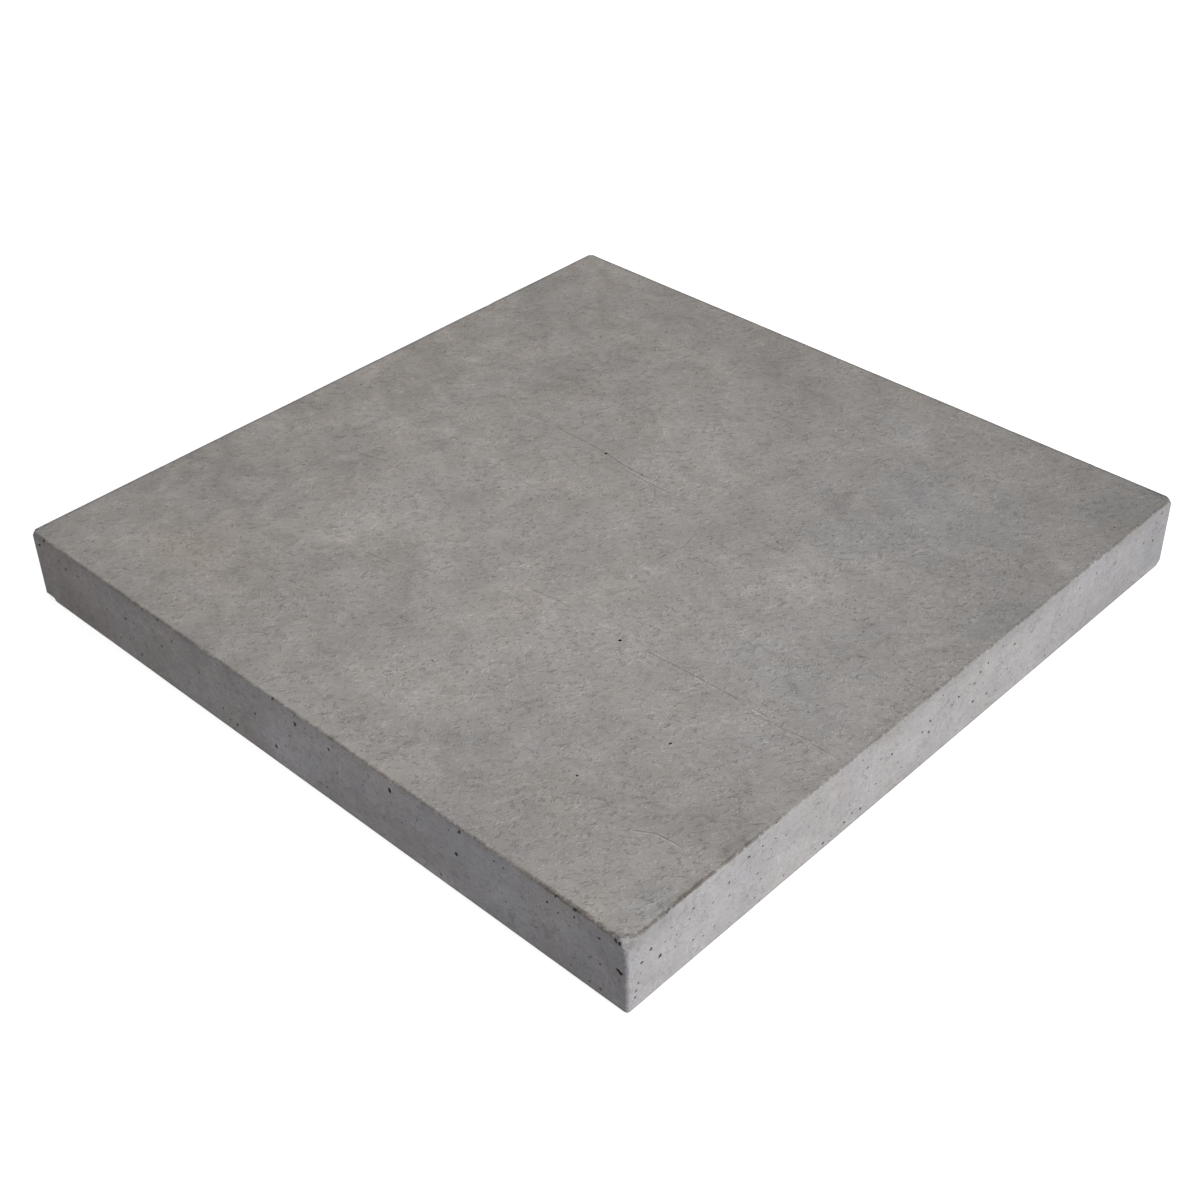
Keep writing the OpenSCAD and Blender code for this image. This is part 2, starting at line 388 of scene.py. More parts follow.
def rim_distance(point, shape):
    """How far inside the plan outline a point is, and the outline's outward direction there."""
    across = (point.x - SLAB_MIDDLE.x, point.y - SLAB_MIDDLE.y)
    straight = HALF_SIDE - shape.corner_radius
    past = Vector([max(abs(a) - straight, 0) for a in across])
    if past.x > 0 and past.y > 0:
        inside = shape.corner_radius - past.length
    elif abs(across[0]) > abs(across[1]):
        inside = HALF_SIDE - abs(across[0])
        past = Vector((1, 0))
    else:
        inside = HALF_SIDE - abs(across[1])
        past = Vector((0, 1))
    past.normalize()
    return inside, Vector((math.copysign(past.x, across[0]), math.copysign(past.y, across[1]), 0))


def outward_at(point, shape):
    """The direction that the unworn slab faces nearest to a point on or just under its skin."""
    inside, level = rim_distance(point, shape)
    below = SLAB_HIGH.z - point.z
    above = point.z - SLAB_LOW.z
    upward = Vector((0, 0, 1)) if below < above else Vector((0, 0, -1))
    arris = shape.walking_arris if below < above else shape.bed_arris
    depth = min(below, above)
    to_side = max(arris - inside, 0)
    to_end = max(arris - depth, 0)
    if to_side == 0 or to_end == 0:
        return level if inside < depth else upward
    return (level * to_side + upward * to_end).normalized()


def ball_of(worn):
    """The middle of the ball that a corner is worn to."""
    return corner_point(worn.signs) - Vector(worn.signs) * ((worn.radius + worn.cut) * MM / math.sqrt(3))


def walking_gap(point, shape):
    """How far inside the flat part of the walking face a point is, and below zero how far off it."""
    gap = point.z - SLAB_HIGH.z
    if gap > -SAME_PLACE:
        gap = rim_distance(point, shape)[0] - shape.walking_arris
    for worn in WORN_CORNERS:
        if worn.signs[2] < 0:
            continue
        ball = ball_of(worn)
        offset = point - ball
        if offset.x * worn.signs[0] > 0 and offset.y * worn.signs[1] > 0:
            circle = math.sqrt((worn.radius * MM) ** 2 - (SLAB_HIGH.z - ball.z) ** 2)
            gap = min(gap, circle - Vector((offset.x, offset.y)).length)
    return gap


# ---- Casting the block and cutting its mesh ----

def make_piece(context, name, mesh, material):
    """Turns a finished mesh into an object of the scene."""
    data = bpy.data.meshes.new(name)
    mesh.to_mesh(data)
    mesh.free()
    data.materials.append(material)
    piece = bpy.data.objects.new(name, data)
    context.scene.collection.objects.link(piece)
    return piece


def rounded_block(mesh, shape):
    """Starts from a cube of the slab's size and rounds its corners and arrises."""
    bmesh.ops.create_cube(mesh, size=1)
    bmesh.ops.scale(mesh, vec=SLAB_SIZE, verts=mesh.verts)
    bmesh.ops.translate(mesh, vec=SLAB_MIDDLE, verts=mesh.verts)
    upright = [e for e in mesh.edges if abs(e.verts[0].co.z - e.verts[1].co.z) > SLAB_SIZE.z / 2]
    bmesh.ops.bevel(mesh, geom=upright, offset=shape.corner_radius, segments=6,
                    profile=0.5, affect="EDGES", material=-1)
    for level, radius in ((SLAB_HIGH.z, shape.walking_arris), (SLAB_LOW.z, shape.bed_arris)):
        rim = [e for e in mesh.edges if all(abs(v.co.z - level) < SAME_PLACE for v in e.verts)]
        bmesh.ops.bevel(mesh, geom=rim, offset=radius, segments=4,
                        profile=0.5, affect="EDGES", material=-1)


def cut(mesh, point, normal, faces):
    """Cuts the given faces along a plane, and gives the faces that come of them."""
    edges = {e for f in faces for e in f.edges}
    verts = {v for f in faces for v in f.verts}
    made = bmesh.ops.bisect_plane(mesh, geom=[*verts, *edges, *faces], dist=SAME_PLACE,
                                  plane_co=point, plane_no=normal)
    return [part for part in made["geom"] if isinstance(part, bmesh.types.BMFace)]


# How far inside the walking arris the two narrow cells at the rim end
RIM_LINES = (1.2 * MM, 2.8 * MM)


def cut_cells(mesh, shape):
    """Cuts the block into square cells, with narrow ones at the rim, and the sides into rows."""
    straight = HALF_SIDE - shape.corner_radius
    steps = round(2 * straight / shape.cell)
    lines = [straight * (2 * i / steps - 1) for i in range(steps + 1)]
    for inner in RIM_LINES:
        rim = HALF_SIDE - shape.walking_arris - inner
        lines += [-rim, rim]
    for axis in (Vector((1, 0, 0)), Vector((0, 1, 0))):
        for place in lines:
            cut(mesh, SLAB_MIDDLE + axis * place, axis, mesh.faces[:])
    bottom = SLAB_LOW.z + shape.bed_arris
    top = SLAB_HIGH.z - shape.walking_arris
    rows = round((top - bottom) / shape.side_row)
    for row in range(1, rows):
        level = Vector((0, 0, bottom + (top - bottom) * row / rows))
        upright = [f for f in mesh.faces if bottom < f.calc_center_median().z < top]
        cut(mesh, level, Vector((0, 0, 1)), upright)


def runs_along_rim(edge, reach, shape):
    """True for an edge that lies within reach of the plan outline and runs along it."""
    first, second = (v.co - SLAB_MIDDLE for v in edge.verts)
    straight = HALF_SIDE - shape.corner_radius + SAME_PLACE
    if abs(first.z - second.z) > SAME_PLACE:
        return False
    for across, along in ((0, 1), (1, 0)):
        level = abs(first[across] - second[across]) < SAME_PLACE
        near = abs(first[across]) > HALF_SIDE - reach
        if level and near and abs(first[along]) < straight and abs(second[along]) < straight:
            return True
    return False


def halve_along_rim(mesh, reach, lowest, highest, shape):
    """Halves the cells along the rim, except between two heights."""
    rim = []
    for edge in mesh.edges:
        if not lowest < edge.verts[0].co.z < highest and runs_along_rim(edge, reach, shape):
            rim.append(edge)
    bmesh.ops.subdivide_edges(mesh, edges=rim, cuts=1, use_grid_fill=True)


def refine_rim(mesh, shape):
    """Halves the cells on the sides, again at both arrises, and again at the walking arris."""
    strip = shape.walking_arris + 1.3 * MM
    under_walking = SLAB_HIGH.z - shape.walking_arris - 1.2 * shape.side_row
    over_bed = SLAB_LOW.z + shape.bed_arris + SAME_PLACE
    halve_along_rim(mesh, shape.walking_arris + 2.9 * MM, SLAB_HIGH.z, SLAB_HIGH.z, shape)
    halve_along_rim(mesh, strip, over_bed, under_walking, shape)
    halve_along_rim(mesh, strip, SLAB_LOW.z - 1, under_walking + 0.8 * shape.side_row, shape)


def refine_corners(mesh):
    """Cuts the skin finer round each corner, so that it can be worn to a ball."""
    spacing = 1.25 * MM
    reach = 14 * MM
    for worn in WORN_CORNERS:
        corner = corner_point(worn.signs)
        near = [f for f in mesh.faces if (f.calc_center_median() - corner).length < reach]
        for axis in (Vector((1, 0, 0)), Vector((0, 1, 0)), Vector((0, 0, 1))):
            inward = -axis.dot(Vector(worn.signs))
            for step in range(1, round(reach / spacing)):
                near = cut(mesh, corner + axis * inward * spacing * step, axis, near)


# ---- Pores ----

# A narrower pore is a pinhole. Each ring of a pore is a share of its mouth's size and of its depth.
PINHOLE_WIDTH = 0.9
PORE_RINGS = ((1.0, 0.0), (0.9, 0.5), (0.62, 0.88))
FLOOR_RING = (0.33, 0.97)


class Mouth:
    """One pore's seat in the mesh: its cells, its middle and its two half lengths."""

    def __init__(self, pore, cells, middle, step, draw):
        self.face = pore.face
        self.cells = cells
        self.middle = middle
        self.step = step
        self.long = pore.length * MM / 2
        self.short = pore.width * MM / 2
        self.turn = math.radians(pore.turn)
        self.depth = self.short * draw.uniform(1.5, 2.2)
        self.lumps = [draw.uniform(-0.12, 0.12) for _ in range(3)]
        # how dark the inside of the pore is painted: the strength of its painted shade
        wide = 0.12 + 0.88 * smooth_ramp(1.0, 2.1, pore.width)
        self.painted_shade = 0.4 if pore.width < PINHOLE_WIDTH else wide
        # the key lamp shines into the pores of the right side, past its worn front end, so their painted
        # shade is lighter
        if self.face is RIGHT and pore.along > -200:
            self.painted_shade *= 0.7
        # the side of the lip that gets a painted highlight, and how bright it is
        lit_sector = (10, 80) if self.face is FRONT else (40, 140)
        self.lit = math.radians(draw.uniform(*lit_sector))
        self.gleam = smooth_ramp(1.2, 2.2, pore.width) * draw.uniform(-0.3, 1)

    def rim_point(self, angle, share, depth_share):
        """A point at an angle round the mouth, at shares of the mouth's size and depth."""
        turned = angle - self.turn
        stretch = math.hypot(self.short * math.cos(turned), self.long * math.sin(turned))
        lump = sum(size * math.sin((i + 2) * angle + 7 * i) for i, size in enumerate(self.lumps))
        radius = share * (1 + lump) * self.long * self.short / stretch
        return (self.middle + self.face.along * (radius * math.cos(angle))
                + self.face.up * (radius * math.sin(angle))
                - self.face.outward * (self.depth * depth_share))

    def angle_of(self, point):
        """The angle of a point round the mouth."""
        offset = point - self.middle
        return math.atan2(offset.dot(self.face.up), offset.dot(self.face.along))

    def ring_and_inside(self):
        """The cells' outer corners, and the corners inside them."""
        verts = {v for c in self.cells for v in c.verts}
        inside = {v for v in verts if all(f in self.cells for f in v.link_faces)}
        return verts - inside, inside

    def shape_ring(self, share, depth_share):
        """Puts the cells' outer corners on one ring of the pore."""
        ring, _ = self.ring_and_inside()
        for vert in ring:
            vert.co = self.rim_point(self.angle_of(vert.co), share, depth_share)
        return ring

    def shape_floor(self):
        """Draws the corners inside the last ring together on the pore's floor."""
        _, inside = self.ring_and_inside()
        for vert in inside:
            offset = vert.co - self.middle
            level = offset - self.face.outward * offset.dot(self.face.outward)
            if level.length < self.step / 2:
                vert.co = self.middle - self.face.outward * self.depth
            else:
                vert.co = self.rim_point(self.angle_of(vert.co), *FLOOR_RING)
        return inside


def random_pores(shape, draw):
    """Scatters the lesser pores and the pinholes over the four sides and the walking face."""
    pores = []
    height = SLAB_SIZE.z / MM
    for face in SIDES:
        listed = face in (FRONT, RIGHT)
        for _ in range(shape.pores_on_side // 6 if listed else shape.pores_on_side):
            width = 0.9 + 0.6 * draw.random() ** 2
            pores.append(Pore(face, draw.uniform(7 - HALF_MM, HALF_MM - 7), draw.uniform(4, height - 4),
                              width * draw.uniform(1, 1.6), width, draw.uniform(20, 70)))
        for _ in range(shape.pinholes_on_side):
            width = draw.uniform(0.45, 0.85)
            pores.append(Pore(face, draw.uniform(7 - HALF_MM, HALF_MM - 7), draw.uniform(3, height - 3),
                              width * draw.uniform(1, 1.3), width, draw.uniform(0, 180)))
    for _ in range(shape.pinholes_on_top):
        width = draw.uniform(0.4, 0.75)
        along = draw.uniform(8 - HALF_MM, HALF_MM - 8)
        up = draw.uniform(8 - HALF_MM, HALF_MM - 8)
        length = width * draw.uniform(1, 1.4)
        pores.append(Pore(WALKING, along, up, length, width, draw.uniform(0, 180)))
    return pores


def flat_cells(mesh, face):
    """The four-cornered cells of one flat face of the slab, away from its arrises."""
    foot = place_on(face, 0, 0)
    found = []
    for cell in mesh.faces:
        level = all(abs((v.co - foot).dot(face.outward)) < SAME_PLACE for v in cell.verts)
        if level and len(cell.verts) == 4:
            found.append(cell)
    return found


def block_for(vert, pore, step):
    """The cells round a corner that a pore needs: one, two by two, or four by four."""
    block = set(vert.link_faces)
    if pore.width < PINHOLE_WIDTH:
        # the one nearest to the slab's middle, and of two as near always the same one
        centres = {c: c.calc_center_median() for c in block}
        return {max(block, key=lambda c: (-centres[c].length, centres[c].to_tuple(6)))}
    if pore.length * MM > 1.3 * step:
        block = {f for c in block for v in c.verts for f in v.link_faces}
    return block


def middle_for(pore, target, block, vert, step):
    """The place nearest to the wanted one at which the mouth stays inside its cells."""
    if len(block) == 1:
        middle = next(iter(block)).calc_center_median()
        reach = 0.5 * step
    else:
        middle = vert.co.copy()
        reach = step * (1 if len(block) == 4 else 2)
    room = max(0.85 * reach - pore.length * MM / 2, 0)
    offset = target - middle
    if offset.length > room:
        offset = offset.normalized() * room
    return middle + offset


def seat_pores(mesh, pores, shape, draw):
    """Finds free cells for each pore near its place. A pore with no free cells is left out."""
    mouths = []
    for face in (*SIDES, WALKING):
        allowed = set(flat_cells(mesh, face))
        corners = list({v for c in allowed for v in c.verts})
        corners.sort(key=lambda v: v.co.to_tuple(6))
        tree = KDTree(len(corners))
        for i, vert in enumerate(corners):
            tree.insert(vert.co, i)
        tree.balance()
        taken = set()
        step = shape.cell if face is WALKING else min(shape.cell / 2, shape.side_row)
        for pore in (p for p in pores if p.face is face):
            target = place_on(face, pore.along * MM, pore.up * MM)
            for _, i, distance in tree.find_n(target, 6):
                block = block_for(corners[i], pore, step)
                used = {v for c in block for v in c.verts}
                if distance < 3 * step and block <= allowed and not used & taken:
                    taken |= used
                    middle = middle_for(pore, target, block, corners[i], step)
                    mouths.append(Mouth(pore, block, middle, step, draw))
                    break
    return mouths


def open_pores(mesh, shape, draw):
    """Sinks every pore: a sharp mouth, a steep wall and a round floor, painted with shade that deepens
    inwards and with a painted highlight on part of its lip.
    """
    mouths = seat_pores(mesh, [*MAIN_PORES, *random_pores(shape, draw)], shape, draw)
    shade_layer = mesh.verts.layers.float.new("pore_painted_shade")
    lip_highlight_layer = mesh.verts.layers.float.new("pore_lip_highlight")
    for share, depth_share in PORE_RINGS:
        cells = [c for m in mouths for c in m.cells]
        bmesh.ops.inset_region(mesh, faces=cells, thickness=0.05 * MM, use_even_offset=True)
        for mouth in mouths:
            ring = mouth.shape_ring(share, depth_share)
            for vert in ring:
                vert[shade_layer] = depth_share * mouth.painted_shade
                facing = math.cos(mouth.angle_of(vert.co) - mouth.lit)
                vert[lip_highlight_layer] = max(facing * mouth.gleam, 0) if depth_share == 0 else 0
            if depth_share == 0:
                for edge in {e for c in mouth.cells for e in c.edges}:
                    edge.smooth = not ring.issuperset(edge.verts)
    for mouth in mouths:
        for vert in mouth.shape_floor():
            vert[shade_layer] = mouth.painted_shade


# ---- Cracks and wear ----

def crack_legs(crack):
    """Each straight leg of a crack: its start, its direction and its length."""
    for start, end in zip(crack.points, crack.points[1:]):
        start = Vector(start) * MM
        run = Vector(end) * MM - start
        yield start, run.normalized(), run.length


def score_cracks(mesh):
    """Cuts close lines along each crack, so that it can sink and its lip can carry its painted highlight.
    """
    for crack in CRACKS:
        side = math.copysign(1, crack.lip)
        for start, run, length in crack_legs(crack):
            origin = Vector((start.x, start.y, SLAB_HIGH.z))
            along = Vector((run.x, run.y, 0))
            across = Vector((-run.y, run.x, 0))
            near = []
            for face in mesh.faces:
                from_start = face.calc_center_median() - origin
                beside = abs(from_start.z) < SAME_PLACE and abs(from_start.dot(across)) < 6 * MM
                if beside and -3 * MM < from_start.dot(along) < length + 3 * MM:
                    near.append(face)
            for offset in (-CRACK_HALF_WIDTH, 0, CRACK_HALF_WIDTH, LIP_OFFSET, LIP_END):
                near = cut(mesh, origin + across * (side * offset) * MM, across, near)


def crack_depth_and_painted_shading(point):
    """How deep a crack is at a point of the walking face, and its painted shading: -1 for the painted
    shade in it, 1 for the painted highlight on its lip.
    """
    depth = 0
    mark = 0
    for crack in CRACKS:
        legs = list(crack_legs(crack))
        whole = sum(length for _, _, length in legs)
        before = 0
        for start, run, length in legs:
            offset = Vector((point.x, point.y)) - start
            along = offset.dot(run)
            if -0.5 * MM <= along <= length + 0.5 * MM:
                across = (run.x * offset.y - run.y * offset.x) / MM
                way = (before + along) / whole
                fade = smooth_ramp(0, 0.12, way) * smooth_ramp(0, 0.12, 1 - way)
                faint = noise.noise(Vector(((before + along) * 110, whole * 50, 0)))
                fade *= smooth_ramp(-0.8, -0.1, faint)
                inside = max(1 - abs(across) / CRACK_HALF_WIDTH, 0)
                beside = across * math.copysign(1, crack.lip) - LIP_OFFSET
                lip = max(1 - abs(beside) / (LIP_END - LIP_OFFSET), 0)
                depth = max(depth, inside * fade * crack.depth * MM)
                dark = inside * fade * min(crack.depth / FULL_SHADE_DEPTH, 1)
                if dark > -mark:
                    mark = -dark
                elif mark >= 0:
                    mark = max(mark, lip * fade * abs(crack.lip))
            before += length
    return depth, mark


def nick(point, shape):
    """Depth of the small nicks and flakes that wear has left along the walking arris."""
    inside, level = rim_distance(point, shape)
    below = SLAB_HIGH.z - point.z
    reach = math.hypot(max(inside, 0), max(below, 0))
    fade = 1 - smooth_ramp(1.0 * MM, 3.2 * MM, reach)
    if fade == 0:
        return 0
    patchy = 0.3 + 0.7 * smooth_ramp(-0.2, 0.4, noise.noise(point * 28))
    fine = smooth_ramp(0.1, 0.5, noise.noise(point * 520))
    broad = smooth_ramp(0.25, 0.6, noise.noise(point * 150 + Vector((9, 4, 2))))
    depth = shape.nick_depth * patchy * (0.6 * fine + 0.7 * broad)
    for flake in FLAKES:
        if level.dot(flake.face.outward) > 0.9:
            along = (point - SLAB_MIDDLE).dot(flake.face.along) / MM - flake.along
            edge = abs(along) + 1.2 * noise.noise(point * 400)
            share = 1 - smooth_ramp(flake.length * 0.3, flake.length * 0.5, edge)
            depth += share * flake.depth * MM * (0.75 + 0.5 * noise.noise(point * 700))
    seen = 0.35 + 0.65 * smooth_ramp(-0.5, 0.5, level.x - level.y)
    if level.x > 0.9:
        seen *= 1 - 0.8 * smooth_ramp(-190 * MM, -140 * MM, point.y - SLAB_MIDDLE.y)
    return fade * depth * seen


def notch(point):
    """How far a notch has sunk the walking arris, and how near the point is to its middle."""
    sunk = share = 0
    for hole in NOTCHES:
        middle = place_on(hole.face, hole.along * MM, SLAB_SIZE.z - hole.down * MM)
        offset = (point - middle) / MM
        if offset.length < 2 * hole.radius:
            away = offset.length / (hole.radius * (1 + 0.5 * noise.noise(point * 500)))
            if away < 1:
                sunk = max(sunk, 0.9 * hole.radius * math.sqrt(1 - away * away))
                share = max(share, 1 - away)
    return sunk * MM, share


def hollow(point, shape):
    """Depth of the gentle waviness of the cast faces."""
    slow = noise.noise(point * 18 + Vector((3, 7, 1)))
    quick = noise.noise(point * 70 + Vector((5, 2, 8)))
    return shape.waviness * (1 + 0.8 * slow + 0.35 * quick)


def floated(point):
    """Depth of the float marks on the bed face."""
    sweep = noise.noise(Vector((point.x * 30 + point.y * 12, point.y * 90 - point.x * 30, 4)))
    grit = noise.noise(point * 210)
    return MM * (0.35 + 0.28 * sweep + 0.12 * grit)


def rounded_off(point):
    """A point pulled back onto the ball of its worn corner, and how far that moved it."""
    for worn in WORN_CORNERS:
        middle = ball_of(worn)
        offset = point - middle
        lumpy = 0.03 * noise.noise(point * 180) + 0.012 * noise.noise(point * 600)
        radius = worn.radius * MM * (1 + lumpy)
        if all(o * s > 0 for o, s in zip(offset, worn.signs)) and offset.length > radius:
            return middle + offset.normalized() * radius, offset.length - radius
    return point, 0


def broken_foot(point):
    """How far the piece broken off the bed arris at the left corner lifts a point."""
    length = 11 * MM
    height = 3.2 * MM
    from_corner = point.x - (SLAB_MIDDLE.x - HALF_SIDE)
    from_side = point.y - (SLAB_MIDDLE.y - HALF_SIDE)
    if from_corner > length + 1.5 * MM or from_side > 7 * MM:
        return 0
    wobble = 0.35 * MM * noise.noise(point * 300)
    ends = 1 - smooth_ramp(length - 0.6 * MM, length + 0.9 * MM, from_corner + wobble)
    inner = 1 - smooth_ramp(4 * MM, 7 * MM, from_side)
    return max((height + wobble) * ends * inner - (point.z - SLAB_LOW.z), 0)


def wear_down(mesh, shape):
    """Moves every point inwards by the waviness, nicks, cracks, worn corners and broken foot."""
    wear_layer = mesh.verts.layers.float.new("wear")
    pore_shade_layer = mesh.verts.layers.float["pore_painted_shade"]
    crack_shading_layer = mesh.verts.layers.float.new("crack")
    gap_layer = mesh.verts.layers.float.new("rim_gap")
    for vert in mesh.verts:
        vert[gap_layer] = min(max(walking_gap(vert.co, shape) / MM, -10), 10)
        outward = outward_at(vert.co, shape)
        nicked = nick(vert.co, shape)
        sunk, share = notch(vert.co)
        # a notch is painted with the pores' shade, darkest at its middle
        vert[pore_shade_layer] = max(vert[pore_shade_layer], 0.6 * smooth_ramp(0, 0.5, share))
        depth = hollow(vert.co, shape) + nicked + sunk
        if outward.z > 0.9:
            crack_depth, vert[crack_shading_layer] = crack_depth_and_painted_shading(vert.co)
            depth += crack_depth
        if outward.z < -0.5:
            depth += floated(vert.co) * smooth_ramp(0, 6 * MM, rim_distance(vert.co, shape)[0])
        lift = broken_foot(vert.co)
        vert.co, pulled = rounded_off(vert.co - outward * depth)
        vert.co.z = max(vert.co.z + lift, SLAB_LOW.z)
        vert[wear_layer] = min(nicked / (0.6 * MM) + pulled / (0.8 * MM) + lift / (0.3 * MM), 1)


# ---- The slab's own flat map ----

def lay_out_map(mesh, shape):
    """Lays the skin out flat: the walking face largest, the sides beside it, the bed smallest."""
    layer = mesh.loops.layers.uv.new("OFBake")
    side = SLAB_SIZE.x
    walking_share = 0.735
    bed_share = 0.235
    gap = 0.008
    scale = walking_share / side
    bed_scale = bed_share / side
    strip = SLAB_SIZE.z * scale
    beside = walking_share + 2 * gap
    for face in mesh.faces:
        outward = outward_at(face.calc_center_median(), shape)
        index = max(range(4), key=lambda i: SIDES[i].outward.dot(outward))
        for loop in face.loops:
            point = loop.vert.co - SLAB_MIDDLE
            if outward.z > 0.7:
                place = ((point.x + side / 2) * scale + gap, (point.y + side / 2) * scale + gap)
            elif outward.z < -0.7:
                place = ((point.x + side / 2) * bed_scale + beside,
                         (point.y + side / 2) * bed_scale + beside)
            else:
                along = (point.dot(SIDES[index].along) + side / 2) * scale + gap
                up = (point.z + SLAB_SIZE.z / 2) * scale + beside + (index % 2) * (strip + 2 * gap)
                place = (along, up) if index < 2 else (up, along)
            loop[layer].uv = place


def cast_slab(context):
    """Makes the whole slab as one closed mesh."""
    shape = context.scene.slab_shape
    draw = random.Random(shape.seed)
    mesh = bmesh.new()
    rounded_block(mesh, shape)
    cut_cells(mesh, shape)
    refine_rim(mesh, shape)
    refine_corners(mesh)
    open_pores(mesh, shape, draw)
    score_cracks(mesh)
    lay_out_map(mesh, shape)
    wear_down(mesh, shape)
    for face in mesh.faces:
        face.smooth = True
    bmesh.ops.recalc_face_normals(mesh, faces=mesh.faces)
    return make_piece(context, "concrete_slab", mesh, concrete_material(context.scene.slab_colours))


# ---- Concrete material ----

TOP_TONE = 0.954        # the walking face's tone under its stains
STROKE_WIDTH = 0.48     # of a thin line of cement paste, in millimetres
# the foot of each side is darkened with painted shade, with a paler band just above it
FOOT_GLOW = 1.06        # the tone of a side just above its dark foot
BUMP_DEPTH = 0.20 * MM  # of the finest relief
ENDLESS = 1e4           # so long that a stain has no end in that direction


class Nodes:
    """Adds nodes to one tree and links them as they are made. Sizes are in millimetres."""

    def __init__(self, tree):
        self.tree = tree

    def feed(self, socket, value):
        """Links an output to a socket, or sets the socket's value."""
        if isinstance(value, bpy.types.NodeSocket):
            self.tree.links.new(value, socket)
        else:
            socket.default_value = value

    def add(self, kind, inputs=None, **settings):
        """Adds a node. Inputs are values or output sockets, by socket name or number."""
        node = self.tree.nodes.new(kind)
        for name, value in settings.items():
            setattr(node, name, value)
        for key, value in (inputs or {}).items():
            self.feed(node.inputs[key], value)
        return node

    def math(self, operation, first, second=0.0, third=0.0):
        """A calculation with numbers."""
        return self.add("ShaderNodeMath", {0: first, 1: second, 2: third}, operation=operation).outputs[0]

    def product(self, *values):
        """All the values multiplied together."""
        total = values[0]
        for value in values[1:]:
            total = self.math("MULTIPLY", total, value)
        return total

    def change(self, share, amount):
        """A factor that is 1 where share is 0, and 1 + amount where share is 1."""
        return self.math("MULTIPLY_ADD", share, amount, 1.0)

    def swing(self, value, amount):
        """Turns a value from 0 to 1 into a factor that swings round 1."""
        return self.change(self.math("SUBTRACT", value, 0.5), amount)

    def vector(self, operation, first, second):
        """A calculation with vectors."""
        return self.add("ShaderNodeVectorMath", {0: first, 1: second}, operation=operation).outputs[0]

    def split(self, place):
        """The three numbers of a place."""
        return self.add("ShaderNodeSeparateXYZ", {0: place}).outputs

    def joined(self, across, up):
        """A place on a flat plane."""
        return self.add("ShaderNodeCombineXYZ", {0: across, 1: up}).outputs[0]

    def moved(self, place, offset):
        """A place shifted by an offset, so that the noise there is another noise."""
        return self.add("ShaderNodeMapping", {"Vector": place, "Location": offset}).outputs[0]

    def laid_over(self, place, middle, turn, scale):
        """A place measured from a middle, along turned axes, in steps of the given scale."""
        return self.add("ShaderNodeMapping", {
            "Vector": place, "Location": middle, "Rotation": (0, 0, math.radians(turn)), "Scale": scale},
            vector_type="TEXTURE").outputs[0]

    def ramp(self, value, low, high, start=0.0, end=1.0):
        """A smooth change from start to end while value goes from low to high."""
        return self.add("ShaderNodeMapRange", {
            "Value": value, "From Min": low, "From Max": high, "To Min": start, "To Max": end},
            interpolation_type="SMOOTHSTEP").outputs["Result"]

    def noise(self, place, size, offset=None, detail=0.0, roughness=0.5, distortion=0.0, output="Fac"):
        """Noise from 0 to 1, whose largest features are about size across."""
        if offset:
            place = self.moved(place, offset)
        return self.add("ShaderNodeTexNoise", {
            "Vector": place, "Scale": 1 / size, "Detail": detail, "Roughness": roughness,
            "Distortion": distortion}).outputs[output]

    def between(self, share, first, second):
        """A number that goes from the first to the second with share."""
        return self.add("ShaderNodeMix", {0: share, 2: first, 3: second}, data_type="FLOAT").outputs[0]

    def mix_colour(self, share, first, second, blend="MIX"):
        """A colour mix."""
        return self.add("ShaderNodeMix", {0: share, 6: first, 7: second}, data_type="RGBA",
                        blend_type=blend).outputs[2]

    def rgb(self, red, green, blue):
        """A colour from its three numbers."""
        return self.add("ShaderNodeCombineColor", {0: red, 1: green, 2: blue}).outputs[0]

    def attribute(self, name):
        """A number that each point of the mesh carries."""
        node = self.add("ShaderNodeAttribute", attribute_name=name, attribute_type="GEOMETRY")
        return node.outputs["Fac"]

    def warped(self, place, size, amount):
        """A place pushed about by noise, so that what is drawn on it has an irregular edge."""
        push = self.noise(place, size, detail=3, roughness=0.6, output="Color")
        push = self.vector("SUBTRACT", push, (0.5, 0.5, 0.5))
        return self.vector("ADD", place, self.vector("MULTIPLY", push, (amount, amount, amount)))

    def stains(self, place, stains, tone=0.0, cool=0.0):
        """Adds a list of stains at a place to a tone and a coolness."""
        for stain in stains:
            reach = (stain.length, stain.width, ENDLESS)
            local = self.laid_over(place, (stain.x, stain.y, 0), stain.turn, reach)
            ball = self.add("ShaderNodeTexGradient", {"Vector": local}, gradient_type="SPHERICAL")
            share = self.ramp(ball.outputs["Fac"], 0.0, 1.0)
            tone = self.math("MULTIPLY_ADD", share, stain.tone, tone)
            if stain.cool:
                cool = self.math("MULTIPLY_ADD", share, stain.cool, cool)
        return tone, cool

    def strokes(self, place, size):
        """Thin broken lines that wander over the face: 1 on a line and 0 off it."""
        line = self.noise(place, size, detail=1.5, roughness=0.6, distortion=1.0)
        away = self.math("ABSOLUTE", self.math("SUBTRACT", line, 0.5))
        gate = self.ramp(self.noise(place, 4, (40, 90, 10), detail=1), 0.5, 0.6)
        return self.product(self.ramp(away, 0.0, STROKE_WIDTH / size, 1.0, 0.0), gate)

    def flecks(self, place, spacing, size, depth):
        """Small dark flecks, one in some of the cells of a scattered grid: 1 off a fleck."""
        ragged = self.warped(place, 1.5, 1.2)
        cell = self.add("ShaderNodeTexVoronoi", {"Vector": ragged, "Scale": 1 / spacing})
        chance = self.add("ShaderNodeSeparateColor", {0: cell.outputs["Color"]}).outputs[0]
        radius = self.ramp(chance, 0.55, 1.0, 0.0, size / spacing)
        inside = self.math("SUBTRACT", radius, cell.outputs["Distance"])
        return self.ramp(inside, -0.04, 0.05, 1.0, 1.0 - depth)


def with_alpha(colour):
    """A colour with full alpha."""
    return (*colour, 1)


